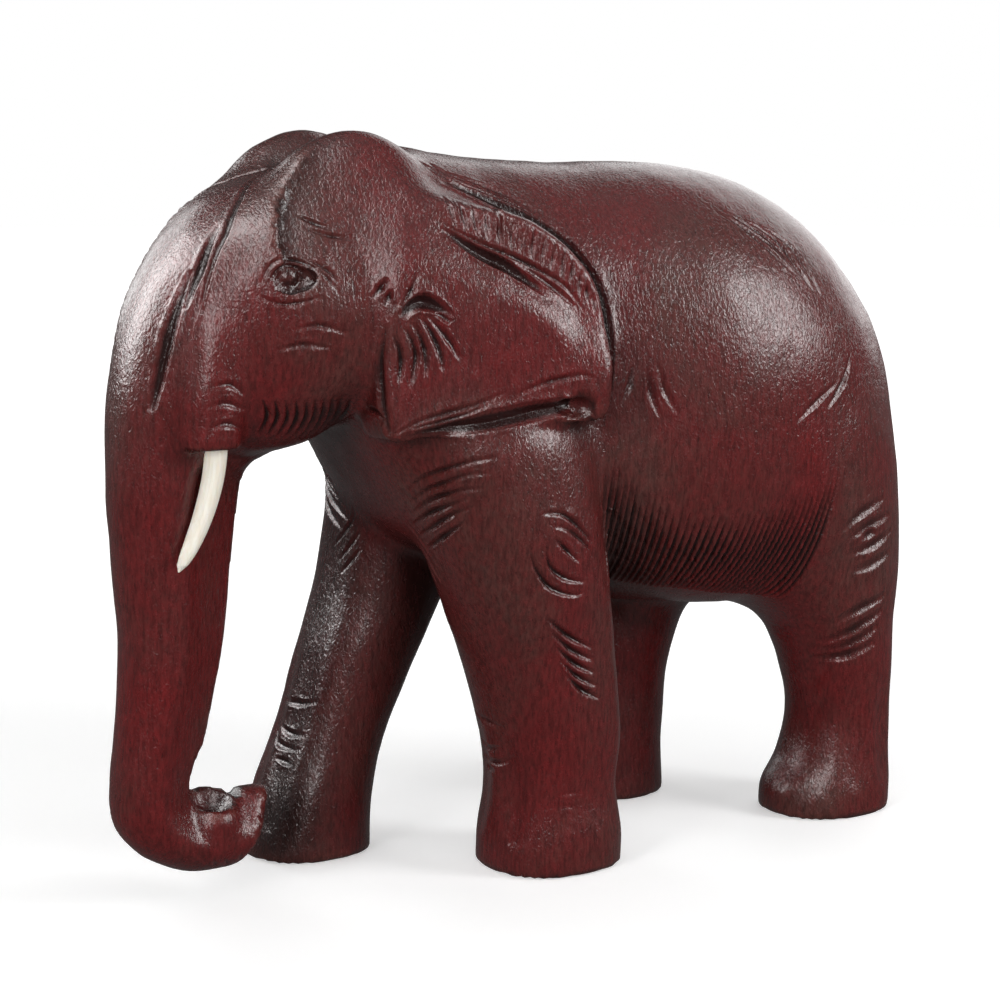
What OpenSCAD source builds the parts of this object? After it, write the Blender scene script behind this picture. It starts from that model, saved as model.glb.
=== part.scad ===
// Carved wooden elephant, walking, with two tusks glued into sockets.
// Millimetres. Z is up, the elephant faces -Y, and its left side is +X.
// The origin is on the ground, under the middle of the figure.

/* [Figure] */
// Height from the soles to the top of the head
figure_h = 200; // [160:5:260]
// Half of the distance between the left and right feet
foot_spread = 25; // [23:0.5:27]
// Number of sides on each carved limb
limb_sides = 28; // [20:4:32]

/* [Ears] */
// Thickness of an ear, with the part that sinks into the neck
ear_thickness = 12; // [10:1:16]

/* [Tusks] */
// Diameter of a tusk where it leaves its socket
tusk_d = 5.8; // [4.8:0.2:6]
// Diameter of a tusk just above its rounded tip
tusk_tip_d = 3.6; // [2.4:0.2:4.4]
// How far a tusk reaches below its socket
tusk_drop = 30; // [24:1:34]
// How far the tip of a tusk sweeps forward
tusk_sweep = 11; // [6:1:13]

/* [Tusk sockets] */
// Diameter of the peg on the root of a tusk
peg_d = 3.6; // [3:0.2:4]
// Length of the peg
peg_len = 8; // [5:1:9]
// Depth of the wide mouth of a socket, which holds the root of the tusk
mouth_depth = 1.5; // [1:0.5:2]
// Room for glue around the root and the peg
glue_gap = 0.05; // [0.02:0.01:0.1]

/* [Hidden] */

wood = "#4a1f1e";
ivory = "#f4ece0";

// The stations below are drawn for a figure 200 mm tall, before it is centred.
drawn_h = 200;
drawn_middle_y = 2.5;
drawn_foot_spread = 25;
unit = figure_h / drawn_h;
station_steps = 2;
mass_sides = 24;

socket_x = 17 * unit;
socket_y = (-102 - drawn_middle_y) * unit;
socket_z = 121 * unit;
socket_sides = 48;

// Torso, from the neck to the rump: [y, height of the widest line, half width, rise, drop]
torso_stations = [
    [-86, 152, 16, 22, 16], [-74, 151, 25, 32, 18], [-64, 149, 31, 39, 24],
    [-55, 146, 34, 46, 34], [-42, 141, 36.5, 55, 47], [-28, 137, 37.5, 58, 52],
    [-15, 134, 39, 60, 53], [10, 130, 43, 61.5, 59], [38, 128, 49.5, 63, 62],
    [62, 126, 50, 62, 63], [82, 123, 47.5, 57, 60], [98, 120, 41.5, 48, 48],
    [111, 117, 33, 36, 38], [118, 114, 23, 25, 26], [122.5, 111, 9, 11, 11],
];
// How square the back and the belly are, where 2 is an ellipse
back_squareness = 2.2;
belly_squareness = 2.6;
leg_squareness = 2.4;

// Trunk, from the forehead to the curled tip: [y, z, half width, half depth]
trunk_stations = [
    [-68, 180, 20, 13], [-78, 171, 26, 21], [-87, 160, 25, 24], [-95.5, 146, 22, 23.5],
    [-102, 132, 18, 20], [-105.5, 118, 15.5, 17.5], [-107, 104, 14, 16],
    [-107.5, 88, 13, 14.5], [-108, 72, 12.5, 13], [-110, 56, 12, 11.5],
    [-112.5, 42, 11.5, 10.5], [-113.5, 32, 11, 10], [-111.5, 23.5, 11, 9.5],
    [-105, 17.5, 10.5, 9], [-97, 16.5, 10, 9], [-90, 17.5, 9, 8], [-84.5, 21, 6, 5],
];
// How much further a trunk section reaches back than forward
trunk_back_share = 1.2;

// Legs, from inside the body to the sole: [z, x, y, half width, half length].
// X is counted from the middle of the figure and is mirrored for the right side.
left_front_leg = [
    [146, 20, -28, 12, 18], [124, 22, -24, 22.5, 26], [102, 23.5, -20, 23.5, 25],
    [80, 24.5, -14.5, 22, 23], [58, 24.5, -9, 19.5, 20.5], [38, 24.5, -5, 17.5, 18],
    [24, 24.5, -5, 18, 18.5], [10, 24.5, -6, 19, 20.5], [-2, 24.5, -6.3, 18.4, 20.3],
];
right_front_leg = [
    [146, 20, -28, 12, 18], [122, 22, -24, 18, 22], [98, 23, -24, 19, 20],
    [76, 24, -29, 18.5, 18], [54, 24, -38, 17, 16.5], [34, 24, -47.5, 16, 16],
    [16, 24, -54, 17, 17], [-2, 24, -56, 18, 18.5],
];
left_rear_leg = [
    [140, 20, 80, 15, 20], [116, 22, 83, 22, 27.5], [94, 23.5, 86, 23, 29.5],
    [74, 25, 90, 20.5, 26], [56, 26, 95, 17.5, 19], [40, 26.5, 97.5, 15.5, 15.5],
    [26, 26.5, 98, 15.5, 15.5], [10, 26.5, 96.5, 16.5, 17], [-2, 26.5, 95.5, 17, 17.5],
];
right_rear_leg = [
    [140, 20, 80, 16, 22], [116, 22, 80, 23, 30], [94, 23.5, 74, 23, 27],
    [74, 25, 66, 20, 22], [56, 26, 58, 18, 18], [40, 26.5, 54, 17, 16.5],
    [24, 26.5, 52, 17, 16.5], [10, 26.5, 51, 17.5, 17], [-2, 26.5, 51, 18, 17.5],
];

// Head, from the crown to the lower jaw: [z, y, half width, half length]
head_stations = [
    [191, -58, 9, 10], [186, -63, 20, 20], [180, -66.5, 26, 26], [170, -69, 30, 31],
    [158, -72, 30.5, 33], [146, -76, 29, 32], [135, -79, 26, 28], [126, -82, 21, 23],
    [120, -84, 14, 16], [117, -85, 6, 8],
];

// Upper lip round the root of each tusk: [z, x, y, half width, half length]
lip_stations = [
    [160, 12, -97, 6, 8], [150, 13.5, -100, 8.5, 9.5], [138, 14.5, -102, 9, 9.5],
    [128, 15.5, -103, 8, 8.5], [121.5, 16, -103.5, 7.4, 7.8],
];

// Ear outline seen from its own side, [y, z], from the top along the rear edge
ear_outline = [
    [-54, 187.5], [-44, 185], [-31, 180.5], [-20.5, 176], [-11.5, 168.8], [-5.3, 160.3],
    [-2.6, 150], [-2, 137], [-2.4, 128], [-5, 125], [-16, 124.2], [-28, 123.6], [-40, 123],
    [-52, 122.4], [-60, 121.5], [-63, 126], [-64, 142], [-61, 158], [-58, 174],
];
ear_middle = [-36, 150];
ear_front_x = 34;
ear_rear_x = 49;
// Layers of the ear from its root outwards: [share of the thickness, share of the outline]
ear_layers = [[0, 0.9], [0.55, 1], [0.8, 0.985], [0.93, 0.94], [1, 0.84]];

// Tail, lying against the rump: [z, y, half width, half depth]
tail_stations = [
    [164, 105, 3, 4], [152, 115, 4, 4], [138, 121, 3.5, 4], [122, 124.5, 3.2, 3.5],
    [106, 125, 3.2, 3.5], [92, 123.5, 4, 4], [82, 120, 3, 4],
];

// ---- curves and lofts ----

// Catmull-Rom point between b and c
function between(a, b, c, d, t) =
    (2 * b + (c - a) * t + (2 * a - 5 * b + 4 * c - d) * t * t
     + (3 * b - a - 3 * c + d) * t * t * t) / 2;

// Smooth open curve through the stations
function smooth(s) = [
    for (i = [0:len(s) - 2])
        for (k = [0:station_steps - 1])
            between(s[max(i - 1, 0)], s[i], s[i + 1], s[min(i + 2, len(s) - 1)], k / station_steps),
    s[len(s) - 1],
];

// Smooth closed curve through the points
function smooth_ring(p, steps = 2) = [
    for (i = [0:len(p) - 1])
        for (k = [0:steps - 1])
            between(p[(i + len(p) - 1) % len(p)], p[i], p[(i + 1) % len(p)],
                    p[(i + 2) % len(p)], k / steps)
];

// Unit direction of the path at point i
function heading(path, i) =
    let (d = path[min(i + 1, len(path) - 1)] - path[max(i - 1, 0)]) d / norm(d);

// Power that keeps the sign of its base
function signed_pow(v, p) = sign(v) * pow(abs(v), p);

// Closed solid through rings that all have the same number of points
module loft(rings) {
    n = len(rings[0]);
    last = len(rings) - 1;
    sides = [
        for (i = [0:last - 1])
            for (k = [0:n - 1])
                let (a = i * n + k, b = i * n + (k + 1) % n)
                    each [[a, b, b + n], [a, b + n, a + n]]
    ];
    first_cap = [for (k = [n - 1:-1:0]) k];
    last_cap = [for (k = [0:n - 1]) last * n + k];
    polyhedron(points = [for (r = rings) each r],
               faces = concat(sides, [first_cap, last_cap]), convexity = 6);
}

// Egg-shaped mass with its own half size along each axis
module mass(centre, half) {
    translate(centre) scale(half) sphere(r = 1, $fn = mass_sides);
}

// The same shape on the left and on the right
module both_sides() {
    children();
    mirror([1, 0, 0]) children();
}

// ---- the carving ----

module torso() {
    loft([
        for (s = smooth(torso_stations)) [
            for (k = [0:limb_sides - 1])
                let (a = 360 * k / limb_sides, above = sin(a) > 0, rise = above ? s[3] : s[4],
                     power = 2 / (above ? back_squareness : belly_squareness))
                    [s[2] * signed_pow(cos(a), power), s[0],
                     s[1] + rise * signed_pow(sin(a), power)]
        ]
    ]);
}

// The section is round in front and narrows towards the back
module trunk() {
    s = smooth(trunk_stations);
    path = [for (p = s) [p[0], p[1]]];
    loft([
        for (i = [0:len(s) - 1])
            let (h = heading(path, i)) [
                for (k = [limb_sides - 1:-1:0])
                    let (a = 360 * k / limb_sides, narrow = 0.86 + 0.14 * sin(a),
                         depth = s[i][3] * sin(a) * (sin(a) < 0 ? trunk_back_share : 1))
                        [s[i][2] * cos(a) * narrow, s[i][0] + h[1] * depth, s[i][1] - h[0] * depth]
            ]
    ]);
}

// Limb with level sections: [z, x, y, half width, half length]
module limb(stations, spread = 1, power = 1) {
    loft([
        for (s = smooth(stations)) [
            for (k = [0:limb_sides - 1])
                let (a = 360 * k / limb_sides)
                    [s[1] * spread + s[3] * signed_pow(cos(a), power),
                     s[2] + s[4] * signed_pow(sin(a), power), s[0]]
        ]
    ]);
}

module leg(stations) {
    limb(stations, foot_spread / drawn_foot_spread, 2 / leg_squareness);
}

// Pillow-shaped sheet, which stands further out towards its rear edge
module ear() {
    outline = smooth_ring(ear_outline);
    slope = (ear_rear_x - ear_front_x) / 62;
    loft([
        for (layer = ear_layers) [
            for (p = outline)
                let (q = ear_middle + (p - ear_middle) * layer[1])
                    [ear_front_x + (q[0] + 64) * slope - ear_thickness * (1 - layer[0]), q[0], q[1]]
        ]
    ]);
}

module tail() {
    loft([
        for (s = smooth(tail_stations)) [
            for (k = [0:11])
                [s[2] * cos(30 * k), s[1] + s[3] * sin(30 * k), s[0]]
        ]
    ]);
}

module head() {
    loft([
        for (s = smooth(head_stations)) [
            for (k = [0:limb_sides - 1])
                let (a = 360 * k / limb_sides)
                    [s[2] * cos(a), s[1] + s[3] * sin(a), s[0]]
        ]
    ]);
    both_sides() {
        // Dome on each side of the crown
        mass([13, -60, 172], [16, 26.5, 28]);
        limb(lip_stations);
    }
}

module whole_animal() {
    torso();
    trunk();
    head();
    tail();
    both_sides() ear();
    leg(left_front_leg);
    leg(left_rear_leg);
    mirror([1, 0, 0]) {
        leg(right_front_leg);
        leg(right_rear_leg);
    }
}

// The figure cut flat at the ground, at its full height and centred
module figure() {
    resize([0, 0, figure_h], auto = true)
        intersection() {
            translate([0, -drawn_middle_y, 0]) whole_animal();
            translate([-100, -200, 0]) cube([200, 400, 300]);
        }
}

// Stepped hole that takes the root and the peg of a tusk
module tusk_socket() {
    below = 6;
    translate([0, 0, -below])
        cylinder(d = tusk_d + 2 * glue_gap, h = below + mouth_depth, $fn = socket_sides);
    cylinder(d = peg_d + 2 * glue_gap, h = mouth_depth + peg_len + glue_gap, $fn = socket_sides);
}

module carved_body() {
    color(wood) difference() {
        figure();
        translate([socket_x, socket_y, socket_z]) tusk_socket();
        translate([-socket_x, socket_y, socket_z]) tusk_socket();
    }
}

// Half thickness of the tusk at a share t of its drop, with a rounded tip
function tusk_r(t) =
    (tusk_d + (tusk_tip_d - tusk_d) * pow(t, 3)) / 2 * sqrt(max(0.02, 1 - pow(t, 14)));

// A tusk hangs from its root at the floor of the socket's mouth
module tusk() {
    rings = 18;
    sides = 20;
    peg_root = 0.5;
    loft([
        for (i = [0:rings])
            let (t = i / rings, z = mouth_depth - (mouth_depth + tusk_drop) * t,
                 y = -tusk_sweep * pow(t, 1.8), r = tusk_r(t)) [
                for (k = [0:sides - 1])
                    [r * cos(360 * k / sides), y + r * sin(360 * k / sides), z]
            ]
    ]);
    translate([0, 0, mouth_depth - peg_root])
        cylinder(d = peg_d, h = peg_len + peg_root, $fn = socket_sides);
}

module tusk_left() {
    color(ivory) translate([socket_x, socket_y, socket_z]) tusk();
}

module tusk_right() {
    color(ivory) translate([-socket_x, socket_y, socket_z]) tusk();
}

carved_body();
tusk_left();
tusk_right();
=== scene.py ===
import math

import bmesh
import bpy
import numpy as np
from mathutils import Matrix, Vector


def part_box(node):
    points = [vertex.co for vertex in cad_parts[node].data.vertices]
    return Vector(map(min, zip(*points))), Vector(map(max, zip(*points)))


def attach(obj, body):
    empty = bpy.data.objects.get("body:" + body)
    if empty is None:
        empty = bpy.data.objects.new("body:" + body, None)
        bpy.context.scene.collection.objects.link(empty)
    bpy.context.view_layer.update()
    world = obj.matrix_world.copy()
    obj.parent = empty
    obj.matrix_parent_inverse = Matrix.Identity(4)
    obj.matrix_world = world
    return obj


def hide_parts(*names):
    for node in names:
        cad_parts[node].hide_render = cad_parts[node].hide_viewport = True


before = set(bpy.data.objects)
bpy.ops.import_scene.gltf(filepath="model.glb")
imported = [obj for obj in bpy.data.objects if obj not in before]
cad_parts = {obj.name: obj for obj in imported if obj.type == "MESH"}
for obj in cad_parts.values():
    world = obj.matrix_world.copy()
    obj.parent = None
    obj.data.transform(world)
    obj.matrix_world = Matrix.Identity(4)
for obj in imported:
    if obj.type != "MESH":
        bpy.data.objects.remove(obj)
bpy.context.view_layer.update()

import openvdb
from mathutils import Vector
from mathutils.bvhtree import BVHTree

# A carved wooden elephant. The figure is sculpted as a field of signed distances, then cut with V-shaped
# and scooped tool marks. Everything is drawn in millimetres of a figure 200 mm tall and scaled to the
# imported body. +Z is up, the elephant faces -Y, its left side is +X.

body_low, body_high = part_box("carved_body")
DRAWN_HEIGHT = 200.0
DRAWN_MIDDLE_Y = 2.5
MM = (body_high[2] - body_low[2]) / DRAWN_HEIGHT
FIELD_STEP = 0.9
MESH_EVERY = 2           # the first mesh uses every second sample of the field
FIELD_LOW = (-57, -135, -6)
FIELD_HIGH = (57, 137, 208)
FAR = 30.0               # distance written where no shape is near
rng = np.random.default_rng(11)


# ---- Stations of the animal ----

# Torso, from the neck to the rump: y, height of the widest line, half width, rise, drop
TORSO = [
    (-86, 152, 16, 22, 16), (-74, 151, 25, 32, 18), (-64, 149, 31, 39, 22),
    (-55, 146, 34, 46, 31), (-42, 141, 35.5, 55, 47), (-28, 137, 36, 57, 52),
    (-15, 134, 37, 58.6, 53), (10, 130, 41.5, 61, 59), (38, 128, 49, 63, 62),
    (62, 126, 50, 62, 63), (82, 123, 47.5, 57, 60), (98, 120, 41, 48, 48),
    (111, 117, 32.5, 36, 38), (118, 114, 22, 25, 26), (122.5, 111, 9, 11, 11),
]
# Trunk, from the forehead to the curled tip: y, z, half width, half depth
TRUNK = [
    (-68, 180, 20, 12), (-78, 171, 26, 19.5), (-87, 160, 25, 22.8), (-95.5, 146, 22, 23),
    (-102, 132, 18, 20), (-105.5, 118, 15.5, 17.5), (-107, 104, 14, 16),
    (-107.5, 88, 13, 14.5), (-108, 72, 12.5, 13), (-110, 56, 12, 11.5),
    (-112.5, 42, 11.5, 10.5), (-113.8, 33, 11, 10.3), (-112.8, 24.5, 11, 10.6),
    (-105, 17.5, 10.5, 9), (-97, 17, 10, 9.5), (-90, 17.5, 9.5, 9), (-80, 20, 8.5, 6.5),
]
# Head, from the crown to the lower jaw: z, x, y, half width, half length
HEAD = [
    (191, 0, -58, 9, 10), (186, 0, -63, 20, 20), (180, 0, -66.5, 26, 26), (170, 0, -69, 30, 31),
    (158, 0, -72, 30.5, 33), (146, 0, -76, 29, 32), (135, 0, -79, 26, 28), (126, 0, -82, 21, 23),
    (120, 0, -84, 14, 16), (117, 0, -85, 6, 8),
]
# Upper lip round the root of each tusk
LIP = [
    (160, 12, -97, 6, 8), (150, 13.5, -100, 8.5, 9.5), (138, 14.5, -102, 9, 9.5),
    (128, 15.5, -103, 8, 8.5), (121.5, 16, -103.5, 7.4, 7.8),
]
# Legs, from inside the body to the sole: z, x, y, half width, half length
LEFT_FRONT_LEG = [
    (146, 20, -28, 12, 18), (124, 22, -24, 22.5, 26), (102, 23.5, -20, 23.5, 25),
    (80, 24.5, -14.5, 22, 23), (58, 24.5, -9, 19.5, 20.5), (38, 24.5, -5, 18.3, 18.8),
    (22, 24.5, -5, 17.2, 17.6), (9, 24.5, -5, 18.8, 19.2), (-3, 24.5, -5.3, 18.4, 19.5),
]
RIGHT_FRONT_LEG = [
    (146, -20, -28, 12, 18), (122, -22, -24, 18, 22), (98, -23, -24, 19, 20),
    (76, -24, -29, 18.5, 18), (54, -24, -38, 17, 16.5), (34, -24, -46.5, 16, 15),
    (16, -24, -53, 17, 16), (-3, -24, -56, 18, 18.5),
]
LEFT_REAR_LEG = [
    (140, 20, 80, 15, 20), (116, 22, 83, 22, 27.5), (94, 23.5, 86, 23, 29.5),
    (74, 25, 90, 20.5, 26), (56, 26, 95, 17.5, 19), (40, 26.5, 98, 15.8, 15.5),
    (28, 26.5, 98.8, 15.3, 14.5), (16, 26.5, 97.2, 16, 16), (7, 26.5, 94.6, 17, 19.2),
    (-3, 26.5, 93.9, 17.3, 19.3),
]
RIGHT_REAR_LEG = [
    (140, -20, 80, 16, 22), (116, -22, 80, 23, 30), (94, -23.5, 74, 23, 27),
    (74, -25, 66, 20, 22), (56, -26, 58, 18, 18), (40, -26.5, 54, 17, 16.5),
    (24, -26.5, 52, 17, 16.5), (10, -26.5, 51, 17.5, 17), (-3, -26.5, 51, 18, 17.5),
]
# Tail against the rump: z, x, y, half width, half depth
TAIL = [
    (164, 0, 105, 3, 4), (152, 0, 115, 4, 4), (138, 0, 121, 3.5, 4), (122, 0, 124.5, 3.2, 3.5),
    (106, 0, 125, 3.2, 3.5), (92, 0, 123.5, 4, 4), (82, 0, 120, 3, 4),
]
# Ear outline, y and z, from the top along the rear edge
EAR = [
    (-54, 187.5), (-42, 184.5), (-28, 179.7), (-17.5, 175.2), (-8.8, 168), (-3.2, 159.8),
    (-1.4, 150), (-1.2, 137), (-1.8, 128), (-5, 125), (-16, 124.2), (-28, 123.6), (-40, 123),
    (-52, 122.4), (-60, 121.5), (-63, 126), (-64, 142), (-61, 158), (-58, 174),
]
# Line along which the upper rim of the ear is folded back, from the head to the rear edge
EAR_FOLD = [
    (-57, 183.5), (-44, 176), (-36, 171), (-27.8, 167.4), (-19.3, 163.2), (-12.4, 158.6),
    (-8.5, 152.5), (-6, 145), (-5, 134),
]
EAR_FRONT_X = 34.0       # how far out its face is at the front and rear edges
EAR_REAR_X = 49.0
EAR_FRONT_Y = -64
EAR_LENGTH = 62
EAR_ROOT_DEPTH = 14.0    # how far the sheet reaches in towards the neck
EAR_EDGE_R = 2.2
EAR_ROLL = 4.2           # how far the face of the ear falls away towards the fold
EAR_ROLL_WIDTH = 12
EAR_ROLL_LOW_Z = 136     # no roll below here, and all of it above the next height
EAR_ROLL_HIGH_Z = 158
EAR_RIM_LEAN = 0.1       # how much the rim beyond the fold leans in
EAR_ROOT = (-60, 176)    # y and z where the ear grows out of the head
EAR_ROOT_SIZE = (15, 20)
EAR_BLEND = 1.6          # its rounding against the head, and what is added to it at the root
EAR_ROOT_BLEND = 15

# The hollow above the eye: its front edge, its depth there, and how its floor leans
TEMPLE_FRONT_Y = -87.0
TEMPLE_BOTTOM_X = 21.2
TEMPLE_RISE = 0.33       # outwards, towards the ear
TEMPLE_MIDDLE_Z = 175
TEMPLE_LOWER_LEAN = 0.5
TEMPLE_UPPER_LEAN = 0.45
TEMPLE_CURL_Z = 172      # above here the front edge curls back
TEMPLE_CURL = 0.03
TEMPLE_DOME_Z = 178      # above here the floor curls out to meet the dome
TEMPLE_DOME_CURL = 0.02
TEMPLE_SLOPE = 0.85      # brings a distance along x to one across the leaning floor
TEMPLE_CRISP_BLEND = 1.2     # its rounding, in front of the first y
TEMPLE_SOFT_BLEND = 6        # and what is added to it, behind the second
TEMPLE_CRISP_Y = -84
TEMPLE_SOFT_Y = -68

# Sections: a power of 2 is an ellipse, and a higher one is squarer
BACK_POWER = 2.2
BELLY_POWER = 3.0
TRUNK_POWER = 2.2
TRUNK_REAR_DEPTH = 1.22  # the trunk is this much deeper behind its middle line than in front
TRUNK_FREE_Z = 114       # its flat sides are whole below here, and gone above the next height
TRUNK_FACE_Z = 130
TRUNK_FLANK = (0.84, 0.54)       # outwards and backwards: the way a flat side faces
TRUNK_FLANK_AT = 0.80    # its distance from the middle, as a share of the half width
TRUNK_FLANK_CLEAR = 8    # how far it is moved out of the way in the face
TRUNK_END = (-82, 25)    # a point y, z on the slanted end of the trunk, and the way it faces
TRUNK_END_FACES = (0.88, -0.475)


# ---- Curves ----

def smooth_curve(points, steps=8, closed=False):
    """Catmull-Rom curve through the points, with this many steps between two of them."""
    p = np.asarray(points, float)
    if closed:
        p = np.vstack([p[-1:], p, p[:2]])
    else:
        p = np.vstack([p[:1], p, p[-1:]])
    t = np.linspace(0, 1, steps, endpoint=False)[:, None]
    out = []
    for a, b, c, d in zip(p, p[1:], p[2:], p[3:]):
        out.append((2 * b + (c - a) * t + (2 * a - 5 * b + 4 * c - d) * t**2
                    + (3 * b - a - 3 * c + d) * t**3) / 2)
    if not closed:
        out.append(p[-1:])
    return np.vstack(out)


def at_shares(curve, shares):
    """Points of a polyline at these shares of its length."""
    step = np.linalg.norm(np.diff(curve, axis=0), axis=1)
    run = np.concatenate([[0], np.cumsum(step)])
    return np.stack([np.interp(np.asarray(shares) * run[-1], run, c) for c in curve.T], 1)


# ---- The field of distances ----

def smooth_min(a, b, width):
    """The smaller of two distances, rounded over this width where they meet."""
    h = np.maximum(width - np.abs(a - b), 0) / width
    return np.minimum(a, b) - h * h * width / 4


def smooth_max(a, b, width):
    """The larger of two distances, rounded in the same way."""
    return -smooth_min(-a, -b, width)


def ramp(value, low, high):
    """0 below low, 1 above high, smooth between."""
    t = np.clip((value - low) / (high - low), 0, 1)
    return t * t * (3 - 2 * t)


class Field:
    """Signed distances to the sculpture on a regular grid."""

    def __init__(self, low, high, step):
        self.low = np.array(low, float)
        self.step = step
        self.axes = [np.arange(a, b, step, dtype=np.float32) for a, b in zip(low, high)]
        self.d = np.full([len(a) for a in self.axes], FAR, np.float32)

    def window(self, low, high):
        """Slices of the grid between two corners, and their broadcast coordinates."""
        cut = []
        for axis, a, b in zip(self.axes, low, high):
            first = max(int(np.searchsorted(axis, a)) - 1, 0)
            cut.append(slice(first, int(np.searchsorted(axis, b)) + 1))
        x, y, z = (axis[c] for axis, c in zip(self.axes, cut))
        return tuple(cut), x[:, None, None], y[None, :, None], z[None, None, :]

    def add(self, low, high, shape, width):
        """Join a shape to the sculpture; width is a number or a function of x, y and z."""
        cut, x, y, z = self.window(low, high)
        if callable(width):
            width = width(x, y, z)
        self.d[cut] = smooth_min(self.d[cut], shape(x, y, z), width)

    def carve(self, low, high, shape, width):
        """Take a shape away."""
        cut, x, y, z = self.window(low, high)
        if callable(width):
            width = width(x, y, z)
        self.d[cut] = smooth_max(self.d[cut], -shape(x, y, z), width)

    def sample(self, points):
        """Distance and gradient at points, by trilinear interpolation."""
        g = (points - self.low) / self.step
        i = np.clip(np.floor(g).astype(int), 0, np.array(self.d.shape) - 2)
        fx, fy, fz = (g - i).T
        c = [[[self.d[i[:, 0] + a, i[:, 1] + b, i[:, 2] + e] for e in (0, 1)] for b in (0, 1)]
             for a in (0, 1)]

        def mix(u, v, t):
            return u * (1 - t) + v * t

        rows = [[mix(c[a][b][0], c[a][b][1], fz) for b in (0, 1)] for a in (0, 1)]
        planes = [mix(rows[a][0], rows[a][1], fy) for a in (0, 1)]
        rise = [[c[a][b][1] - c[a][b][0] for b in (0, 1)] for a in (0, 1)]
        gx = planes[1] - planes[0]
        gy = mix(rows[0][1] - rows[0][0], rows[1][1] - rows[1][0], fx)
        gz = mix(mix(rise[0][0], rise[0][1], fy), mix(rise[1][0], rise[1][1], fy), fx)
        return mix(planes[0], planes[1], fx), np.stack([gx, gy, gz], 1) / self.step

    def side_x(self, y, z):
        """How far out the left side of the surface is at this height and length."""
        x = self.axes[0][self.axes[0] > 0].astype(float)
        d, _ = self.sample(np.stack([x, np.full(len(x), y), np.full(len(x), z)], 1))
        return float(x[np.flatnonzero(d < 0).max()])

    def settle(self, points, rounds=3):
        """Move points onto the surface."""
        for _ in range(rounds):
            d, g = self.sample(points)
            points = points - g * (d / np.maximum((g * g).sum(1), 0.2))[:, None]
        return points

    def normals(self, points):
        g = self.sample(points)[1]
        return g / np.maximum(np.linalg.norm(g, axis=1), 1e-6)[:, None]

    def mesh(self, every):
        """Points and quads of the surface, using every so many samples."""
        grid = openvdb.FloatGrid(2 * FAR)
        grid.copyFromArray(np.ascontiguousarray(self.d[::every, ::every, ::every]))
        points, quads = grid.convertToQuads(isovalue=0.0)
        return points * self.step * every + self.low, quads


# ---- Shapes: each gives the distance at x, y, z ----

def section_distance(u, v, half_u, half_v, power=2.0):
    """How far a point is outside a rounded section, along its own radius."""
    reach = np.sqrt(u * u + v * v) + 1e-6
    q = ((np.abs(u) / half_u) ** power + (np.abs(v) / half_v) ** power) ** (1 / power) + 1e-9
    return reach - reach / q


def egg(centre, half):
    """Ellipsoid with these half lengths along x, y and z."""
    def shape(x, y, z):
        u, v, w = x - centre[0], y - centre[1], z - centre[2]
        reach = np.sqrt(u * u + v * v + w * w) + 1e-6
        q = np.sqrt((u / half[0])**2 + (v / half[1])**2 + (w / half[2])**2) + 1e-9
        return reach - reach / q
    return shape


def mirrored(shape):
    """The same shape on both sides."""
    return lambda x, y, z: shape(np.abs(x), y, z)


def upright(stations, power=2.0, rear_cut=None, end=4.0):
    """Limb with level sections and ends that are rounded by this much.

    rear_cut is the share of the half length at which its back is cut flat.
    """
    s = smooth_curve(stations)[::-1]

    def shape(x, y, z):
        cx, cy, rx, ry = (np.interp(z, s[:, 0], s[:, k]) for k in (1, 2, 3, 4))
        side = section_distance(x - cx, y - cy, rx, ry, power)
        if rear_cut:
            side = smooth_max(side, (y - cy - rear_cut * ry) + 0 * side, 1.6)
        return smooth_max(side, np.maximum(z - s[-1, 0], s[0, 0] - z) + 0 * side, end)
    return shape


def torso(x, y, z):
    """The belly is fuller than the back, with a harder turn to its underside."""
    s = smooth_curve(TORSO)
    middle, half, rise, drop = (np.interp(y, s[:, 0], s[:, k]) for k in (1, 2, 3, 4))
    up = z > middle
    side = section_distance(x + 0 * z, z - middle, half, np.where(up, rise, drop),
                            np.where(up, BACK_POWER, BELLY_POWER))
    return np.maximum(side, np.maximum(s[0, 0] - y, y - s[-1, 0]))


def trunk(x, y, z):
    """Round in front, with flat sides that close in towards the back."""
    s = smooth_curve(TRUNK, steps=40)
    run = np.gradient(s[:, :2], axis=0)
    run /= np.linalg.norm(run, axis=1)[:, None]
    yy, zz = np.broadcast_arrays(y[0], z[0])
    away = (yy[..., None] - s[:, 0])**2 + (zz[..., None] - s[:, 1])**2
    k = away.argmin(-1)
    front = (yy - s[k, 0]) * run[k, 1] - (zz - s[k, 1]) * run[k, 0]
    ahead = (yy - s[k, 0]) * run[k, 0] + (zz - s[k, 1]) * run[k, 1]
    over = np.where((k == 0) | (k == len(s) - 1), np.abs(ahead), 0)
    depth, half = s[k, 3] * np.where(front < 0, TRUNK_REAR_DEPTH, 1), s[k, 2]
    side = section_distance(x, front[None], half[None], depth[None], TRUNK_POWER)
    below_face = 1 - ramp(zz, TRUNK_FREE_Z, TRUNK_FACE_Z)[None]
    flank = TRUNK_FLANK[0] * np.abs(x) - (TRUNK_FLANK[1] * front + TRUNK_FLANK_AT * half)[None]
    side = smooth_max(side, flank - TRUNK_FLANK_CLEAR * (1 - below_face), 1.5)
    return np.sqrt(np.maximum(side, 0)**2 + over[None]**2) + np.minimum(side, 0)


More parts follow.
